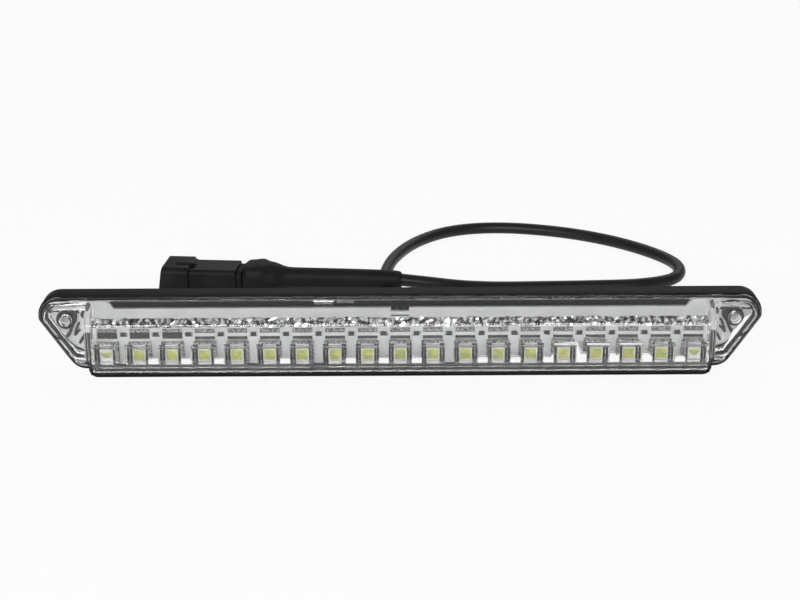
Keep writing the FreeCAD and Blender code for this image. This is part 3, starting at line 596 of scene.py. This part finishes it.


# row of LEDs: package, phosphor, tinned pads and frames (the frames painted reflection), legs, black
# strips of painted shade beside the legs, and foot bars
ledRow = {
    "count": 19, "pitch": 12.65, "height": 11.0, "boardFront": 2.0,
    "body": 5.0, "thick": 1.5, "edge": 0.12, "dish": 0.40, "dishWall": 0.1, "dishDepth": 0.35,
    "phosphorGap": 0.16, "phosphorThick": 0.25, "phosphorIn": 0.2, "phosphorEdge": 0.2,
    "phosphorSteps": ((0.5, 0.06), (0.7, 0.03)),  # inset and rise
    "domeRise": 1.2, "domeThick": 0.3, "domeIn": 0.16, "domeEdge": 0.06,
    "padWide": 8.8, "padTall": 9.8, "padLow": 5.5, "padThick": 0.08, "padCorner": 0.8,
    "frameWide": 0.9, "frameWall": 0.15, "frameDeep": 1.3, "frameFloor": 0.1, "frameEdge": 0.15,
    "leg": (0.3, 0.35, 0.8), "legOut": 0.05, "legFront": 0.25, "legStep": 1.6, "legEdge": 0.08,
    "strip": (0.5, 1.3, 4.4), "shadeStripOut": 0.45, "shadeStripFront": 0.75, "shadeStripEdge": 0.03,
    "foot": (5.0, 1.2, 1.1), "footDrop": 0.9, "footFront": 0.7, "footEdge": 0.1,
}
firstLed = -(ledRow["count"] - 1) / 2 * ledRow["pitch"]
ledFront = ledRow["boardFront"] - ledRow["thick"]
ledHalf = ledRow["body"] / 2
padMiddle = ledRow["padLow"] + ledRow["padTall"] / 2


def layRow(piece, count, finish, slot, *replaced):
    repeatAlong(piece, count, (ledRow["pitch"], 0, 0))
    return settle(piece, finish, slot, *replaced)


def makeLeds():
    for index in range(ledRow["count"]):
        number = "%02d" % (index + 1)
        x = firstLed + index * ledRow["pitch"]
        body = addBlock("ledBody" + number, (ledRow["body"], ledRow["thick"], ledRow["body"]),
                        (x, ledFront + ledRow["thick"] / 2, ledRow["height"]))
        startEdit(body)
        pickFaces(body, isFront)
        bpy.ops.mesh.inset(thickness=ledRow["dish"] * mm, depth=0)
        bpy.ops.mesh.inset(thickness=ledRow["dishWall"] * mm, depth=-ledRow["dishDepth"] * mm)
        endEdit()
        softenEdges(body, ledRow["edge"])
        settle(body, ledWhite, "led_body", "led_" + number)


def makePhosphor():
    side = ledRow["body"] - 2 * ledRow["dish"] - ledRow["phosphorGap"]
    piece = addBlock("ledPhosphor", (side, ledRow["phosphorThick"], side),
                     (firstLed + ledRow["pitch"], ledFront + ledRow["phosphorIn"], ledRow["height"]))
    startEdit(piece)
    pickFaces(piece, isFront)
    for inset, rise in ledRow["phosphorSteps"]:
        bpy.ops.mesh.inset(thickness=inset * mm, depth=rise * mm)
    endEdit()
    softenEdges(piece, ledRow["phosphorEdge"], 3, 60)
    repeatAlong(piece, ledRow["count"] - 2, (ledRow["pitch"], 0, 0))
    flat = ledRow["height"] + ledRow["domeRise"]
    parts = [piece]
    for x in (firstLed, -firstLed):  # the end ones show as half discs
        dome = addRod("dome", side, ledRow["domeThick"], (x, ledFront + ledRow["domeIn"], flat), 40)
        startEdit(dome)
        cutAway((0, 0, flat), (0, 0, 1))
        endEdit()
        softenEdges(dome, ledRow["domeEdge"])
        parts.append(dome)
    joinAll(parts, "ledPhosphor")
    return settle(piece, phosphorYellow, "phosphor", "led_phosphor")


def makePads():
    pad = addBlock("ledPads", (ledRow["padWide"], ledRow["padThick"], ledRow["padTall"]),
                   (firstLed, ledRow["boardFront"] - ledRow["padThick"] / 2, padMiddle))
    startEdit(pad, "EDGE")
    pickEdges(pad, lambda a, b: abs(a.y - b.y) > 0.01)
    bpy.ops.mesh.bevel(offset=ledRow["padCorner"] * mm, segments=3)
    endEdit()
    return layRow(pad, ledRow["count"], tinAndPaintedReflection, "contact_tin")


# raised grey frames around each LED: painted reflection, standing in for the tin pad seen in the clear
# optic blocks' side walls
def makeReflectionFrames():
    deep = ledRow["frameDeep"]
    rim = addBlock("ledReflectionFrames", (ledRow["padWide"], deep, ledRow["padTall"]),
                   (firstLed, ledRow["boardFront"] - ledRow["padThick"] - deep / 2, padMiddle))
    startEdit(rim)
    pickFaces(rim, isFront)
    bpy.ops.mesh.inset(thickness=ledRow["frameWide"] * mm, depth=0)
    bpy.ops.mesh.inset(thickness=ledRow["frameWall"] * mm, depth=-(deep - ledRow["frameFloor"]) * mm)
    endEdit()
    softenEdges(rim, ledRow["frameEdge"])
    return layRow(rim, ledRow["count"], tinAndPaintedReflection, "contact_tin")


def makeLegs():
    legs = []
    for side in (-1, 1):
        for row in (-1, 0, 1):
            leg = addBlock("leg", ledRow["leg"], (
                firstLed + side * (ledHalf + ledRow["legOut"]), ledRow["boardFront"] - ledRow["legFront"],
                ledRow["height"] + row * ledRow["legStep"]))
            softenEdges(leg, ledRow["legEdge"], 1)
            legs.append(leg)
    return layRow(joinAll(legs, "ledLeads"), ledRow["count"], contactTin, "contact_tin")


# black strips beside each LED's legs: painted shade, where the legs stand in shadow
def makeShadeStrips():
    shadeStrips = []
    for side in (-1, 1):
        strip = addBlock("strip", ledRow["strip"], (
            firstLed + side * (ledHalf + ledRow["shadeStripOut"]), ledRow["boardFront"] - ledRow["shadeStripFront"],
            ledRow["height"]))
        softenEdges(strip, ledRow["shadeStripEdge"], 1)
        shadeStrips.append(strip)
    return layRow(joinAll(shadeStrips, "ledShadeStrips"), ledRow["count"], chipBlack, "chip_black")


def makeFeet():
    foot = addBlock("ledFoot", ledRow["foot"], (
        firstLed, ledRow["boardFront"] - ledRow["footFront"],
        ledRow["height"] - ledHalf - ledRow["footDrop"]))
    softenEdges(foot, ledRow["footEdge"])
    return layRow(foot, ledRow["count"], ledWhite, "led_body")


makeLeds()
makePhosphor()
makePads()
makeReflectionFrames()
makeLegs()
makeShadeStrips()
makeFeet()
print("led row made")


# tinned ends of the small resistors
resistor = {"rise": 7.2, "length": 3.2, "width": 1.6, "thick": 0.7, "cap": 0.5, "over": 0.04, "edge": 0.08}


def makeResistorCaps():
    caps = []
    over = resistor["over"]
    size = (resistor["cap"] + over, resistor["thick"] + over, resistor["width"] + 2 * over)
    for side in (-1, 1):
        x = firstLed + ledRow["pitch"] / 2 + side * (resistor["length"] - resistor["cap"]) / 2
        cap = addBlock("cap", size, (
            x, ledRow["boardFront"] - (resistor["thick"] + over) / 2, ledRow["height"] + resistor["rise"]))
        softenEdges(cap, resistor["edge"])
        caps.append(cap)
    return layRow(joinAll(caps, "resistorCaps"), ledRow["count"] - 1, contactTin, "contact_tin")


makeResistorCaps()
print("resistor caps made")


# white reflector blocks on the tray's floor under the clear ears
earSheet = {
    "inner": 121.4, "outer": 137.2, "low": 6.6, "high": 31.2, "floor": 8.0, "thick": 4.2, "edge": 0.1,
    "drill": 12.0,
    "cuts": (((125.2, 6.6), (137.2, 24.9)), ((137.2, 27.5), (133.5, 31.2))),
    "holes": ((129.0, 25.2, 7.3), (121.5, 27.0, 4.9)),  # screw boss and post: x, z, diameter
}


def makeEarSheets():
    wide = earSheet["outer"] - earSheet["inner"]
    tall = earSheet["high"] - earSheet["low"]
    for side in (-1, 1):
        piece = addBlock(sideName("earSheet", side), (wide, earSheet["thick"], tall), (
            side * (earSheet["inner"] + wide / 2), earSheet["floor"] - earSheet["thick"] / 2,
            earSheet["low"] + tall / 2))
        startEdit(piece)
        for (x0, z0), (x1, z1) in earSheet["cuts"]:
            cutAway((side * x0, 0, z0), Vector((side * (z1 - z0), 0, x0 - x1)).normalized())
        endEdit()
        for x, z, diameter in earSheet["holes"]:
            drill = addRod("drill", diameter, earSheet["drill"], (side * x, earSheet["floor"], z), 48)
            useModifier(piece, "BOOLEAN", operation="DIFFERENCE", object=drill, solver="EXACT")
            bpy.data.objects.remove(drill)
        softenEdges(piece, earSheet["edge"], 1, 40)
        settle(piece, boardWhite, "white_board")


makeEarSheets()
print("ear sheets made")


# dark lines seen through the ears: black lines laid on the white blocks as painted shade for the clear
# ears' dark lines, and a bushing in each screw hole
earShadeLines = {
    "rest": 3.25, "thin": 1.15, "drop": -0.9, "steps": 4, "roundness": 2,
    "runs": (  # x and z at the left ear
        ((-125.8, 27.9), (-127.6, 23.2), (-129.7, 18.3), (-130.6, 17.3)),
        ((-130.6, 17.3), (-129.6, 15.0), (-127.9, 13.2), (-125.6, 11.9), (-122.6, 11.3)),
        ((-133.6, 16.9), (-132.2, 15.2), (-130.9, 12.6), (-128.9, 10.6), (-126.0, 9.3), (-122.6, 9.0)),
        ((-136.4, 29.0), (-133.4, 28.6), (-132.4, 28.4)),
        ((-125.6, 28.1), (-123.9, 28.3)),
        ((-122.4, 18.7), (-125.0, 14.6)),
        ((-122.2, 22.6), (-124.4, 24.6), (-126.2, 21.0), (-127.4, 17.6), (-124.2, 21.4), (-122.2, 20.8)),
        ((-137.2, 23.6), (-135.2, 20.6), (-133.4, 18.2)),
    ),
}
bushing = {"x": 129.0, "z": 25.2, "diameter": 4.2, "wall": 0.25, "near": -0.5, "far": 7.9}


def makeEarShadeLines(side):
    runs = []
    for run in earShadeLines["runs"]:
        runs.append([(-side * x, earShadeLines["rest"], z + earShadeLines["drop"]) for x, z in run])
    piece = addLine(sideName("earShadeLines", side), runs, earShadeLines["thin"], earShadeLines["steps"],
                    earShadeLines["roundness"])
    makeActive(piece)
    bpy.ops.object.convert(target="MESH")
    bpy.ops.object.shade_smooth()
    return settle(piece, chipBlack, "chip_black")


def makeBushing(side):
    near, far = bushing["near"], bushing["far"]
    tube = addRod(sideName("bushing", side), bushing["diameter"], far - near,
                  (side * bushing["x"], (near + far) / 2, bushing["z"]), 40, "NOTHING")
    useModifier(tube, "SOLIDIFY", thickness=bushing["wall"] * mm, offset=-1)
    bpy.ops.object.shade_smooth_by_angle(angle=math.radians(35))
    return settle(tube, boardWhite, "white_board")


for side in (-1, 1):
    makeEarShadeLines(side)
    makeBushing(side)
print("ear lines made")


# ladder of bars on the board above each LED, painted light and shade of the lens's optics: white bars and
# a white sill are painted highlights, the black backing and dark bars painted shade lines, the grey and
# tin bars the mid tones between
ladder = {
    "wide": 7.7, "edge": 0.12,
    "rows": (  # name, low, high, thickness, finish, slot, first LED, count
        ("ladderShadeBacking", 14.55, 20.5, 0.2, chipBlack, "chip_black", 0, 19),
        ("ladderTop", 18.95, 20.4, 0.4, tinAndPaintedReflection, "contact_tin", 0, 19),
        ("ladderShadeBar", 17.05, 18.6, 0.45, chipBlack, "chip_black", 0, 3),
        ("ladderHighlightBar", 17.35, 18.75, 0.5, ledWhite, "led_body", 3, 16),
        ("ladderPaleHighlight", 15.1, 16.4, 0.45, ledWhite, "led_body", 0, 3),
        ("ladderGrey", 15.3, 16.2, 0.45, barGrey, "contact_tin", 3, 16),
        ("ladderHighlightSill", 13.7, 14.5, 0.3, ledWhite, "led_body", 0, 19),
    ),
}


def makeLadder():
    for label, low, high, thick, finish, slot, start, count in ladder["rows"]:
        x = firstLed + start * ledRow["pitch"]
        bar = addBlock(label, (ladder["wide"], thick, high - low),
                       (x, ledRow["boardFront"] - thick / 2, (low + high) / 2))
        softenEdges(bar, ladder["edge"])
        layRow(bar, count, finish, slot)


makeLadder()
print("ladder made")


# faceted metal strip behind the lens's bevel, whose facets catch the lamps and whose near-black patches
# are painted dark reflections; its low and high edges as y and z
spark = {"half": 117.6, "low": (-7.75, 24.75), "high": (-6.05, 27.35), "columns": 150, "rows": 3,
         "jitter": 0.5, "even": 0.4, "outward": 0.5, "seed": 5, "thick": 0.2}


def makeSpark():
    (y0, z0), (y1, z1) = spark["low"], spark["high"]
    clearPicks()
    bpy.ops.mesh.primitive_grid_add(
        x_subdivisions=spark["columns"], y_subdivisions=spark["rows"], size=1,
        location=Vector((0, (y0 + y1) / 2, (z0 + z1) / 2)) * mm,
        rotation=(math.atan2(z1 - z0, y1 - y0), 0, 0))
    strip = bpy.context.object
    strip.name = "sparkStrip"
    strip.scale = (2 * spark["half"] * mm, math.hypot(y1 - y0, z1 - z0) * mm, 1)
    bpy.ops.object.transform_apply(location=True, rotation=True, scale=True)
    startEdit(strip, "VERT")
    bpy.ops.mesh.select_all(action="SELECT")
    bpy.ops.transform.vertex_random(offset=spark["jitter"] * mm, uniform=spark["even"],
                                    normal=spark["outward"], seed=spark["seed"])
    bpy.ops.mesh.quads_convert_to_tris(quad_method="FIXED")
    endEdit()
    useModifier(strip, "SOLIDIFY", thickness=spark["thick"] * mm, offset=-1)
    return settle(strip, sparkChromeAndPaintedDark, "contact_tin")


makeSpark()
print("spark strip made")


# plug: boot with a long sleeve, modelled along x and then turned into place, ribbed seal and housing
plug = {
    "place": (0.0, 87.0, 10.4), "turn": 175.0, "creaseFrom": 57.0, "crease": 0.35,
    "stations": (  # x, half width, low, high
        (-1.0, 3.5, -4.4, 3.0), (-0.3, 4.2, -4.8, 4.0), (4.0, 4.5, -4.9, 4.45), (24.0, 4.55, -5.3, 4.6),
        (43.0, 4.65, -5.6, 4.65), (48.0, 4.7, -5.8, 4.65), (51.0, 5.1, -6.3, 4.9), (54.4, 7.3, -8.1, 6.4),
        (57.8, 8.5, -9.15, 7.5), (64.0, 8.5, -9.15, 6.3), (66.5, 8.45, -9.1, 6.1), (69.4, 8.4, -9.0, 6.0),
        (69.5, 8.0, -8.6, 5.8),
    ),
    "housingEdge": 0.45, "sealEdge": 0.3,
}
plugTurn = Matrix.Rotation(math.radians(plug["turn"]), 4, "Z")
plugPlace = Matrix.Translation(Vector(plug["place"]) * mm) @ plugTurn


def makeBoot():
    stations = plug["stations"]
    x0, half, low, high = stations[0]
    x1 = stations[1][0]
    boot = addBlock("boot", (x1 - x0, 2 * half, high - low), ((x0 + x1) / 2, 0, (low + high) / 2))
    startEdit(boot)
    now = (half, low, high)
    for index in range(1, len(stations)):
        x, half, low, high = stations[index]
        if index == 1:
            pickFaces(boot, lambda middle, normal: normal.x > 0.99)
        else:
            step = x - stations[index - 1][0]
            bpy.ops.mesh.extrude_region_move(TRANSFORM_OT_translate={"value": (step * mm, 0, 0)})
        wide = half / now[0]
        tall = (high - low) / (now[2] - now[1])
        middle = Vector((x, 0, (now[1] + now[2]) / 2)) * mm
        bpy.ops.transform.resize(value=(1, wide, tall), center_override=middle)
        bpy.ops.transform.translate(value=(0, 0, (low + high - now[1] - now[2]) / 2 * mm))
        now = (half, low, high)
    bpy.ops.mesh.select_mode(type="EDGE")
    bpy.ops.mesh.select_all(action="DESELECT")
    pickEdges(boot, lambda a, b: min(a.x, b.x) > plug["creaseFrom"] and abs(a.x - b.x) > 0.3)
    bpy.ops.transform.edge_crease(value=plug["crease"])
    endEdit()
    smoothOut(boot, 3)
    boot.matrix_world = plugPlace
    makeActive(boot)
    bpy.ops.object.transform_apply(location=True, rotation=True, scale=True)
    return settle(boot, bootRubber, "boot_rubber", "connector_boot")


def makeHousing():
    piece = mergedCopy("connector_housing", "plugHousing")
    softenEdges(piece, plug["housingEdge"], 2, 40)
    return settle(piece, plugPlastic, "connector_plastic", "connector_housing")


def makeSeal():
    piece = mergedCopy("connector_seal", "plugSeal")
    softenEdges(piece, plug["sealEdge"], 2, 40)
    return settle(piece, sealRubber, "seal_rubber", "connector_seal")


boot = makeBoot()
housing = makeHousing()
seal = makeSeal()
print("plug made")

bpy.context.view_layer.update()
